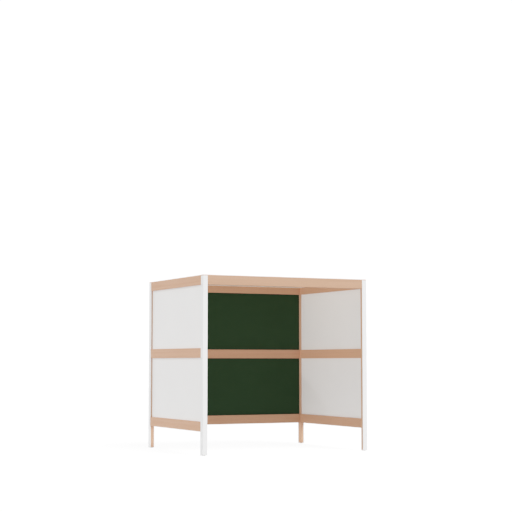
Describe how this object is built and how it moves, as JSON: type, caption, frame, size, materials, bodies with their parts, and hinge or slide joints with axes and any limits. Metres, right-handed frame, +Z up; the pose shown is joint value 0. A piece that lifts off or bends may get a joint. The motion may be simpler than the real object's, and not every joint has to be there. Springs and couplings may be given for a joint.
{
  "type": "study carrel",
  "caption": "Desk-height open-front carrel: beech posts and rails with white corner covers, thin panels on both sides and the rear, and a flat top board.",
  "frame": {"origin": "on the floor, at the centre of the footprint of the four posts", "axes": "+X from left to right as seen by the sitter, +Y from the open front to the closed rear, +Z up"},
  "size_m": [0.779, 0.602, 0.74],
  "materials": {
    "beech": "clear matt lacquer",
    "beech_dowel": "bare fluted beech",
    "white_cover": "matt white powder coat",
    "grey_panel": "matt pale grey laminate",
    "green_panel": "matt dark green laminate",
    "nylon_glide": "moulded natural nylon",
    "steel_screw": "zinc plated"
  },
  "bodies": {
    "root": {"cap_front_left": "beech", "cap_front_right": "beech", "cap_rear_left": "beech", "cap_rear_right": "beech", "cover_front_left": "white_cover", "cover_front_right": "white_cover", "cover_rear_left": "white_cover", "cover_rear_right": "white_cover", "dowels_front": "beech_dowel", "dowels_left": "beech_dowel", "dowels_rear": "beech_dowel", "dowels_right": "beech_dowel", "glide_front_left": "nylon_glide", "glide_front_right": "nylon_glide", "glide_rear_left": "nylon_glide", "glide_rear_right": "nylon_glide", "panel_lower_left": "grey_panel", "panel_lower_rear": "green_panel", "panel_lower_right": "grey_panel", "panel_upper_left": "grey_panel", "panel_upper_rear": "green_panel", "panel_upper_right": "grey_panel", "post_front_left": "beech", "post_front_right": "beech", "post_rear_left": "beech", "post_rear_right": "beech", "rail_bottom_left": "beech", "rail_bottom_rear": "beech", "rail_bottom_right": "beech", "rail_mid_left": "beech", "rail_mid_rear": "beech", "rail_mid_right": "beech", "rail_top_front": "beech", "rail_top_left": "beech", "rail_top_rear": "beech", "rail_top_right": "beech", "screws_front": "steel_screw", "screws_left": "steel_screw", "screws_rear": "steel_screw", "screws_right": "steel_screw", "top_board": "grey_panel"}
  },
  "joints": []
}
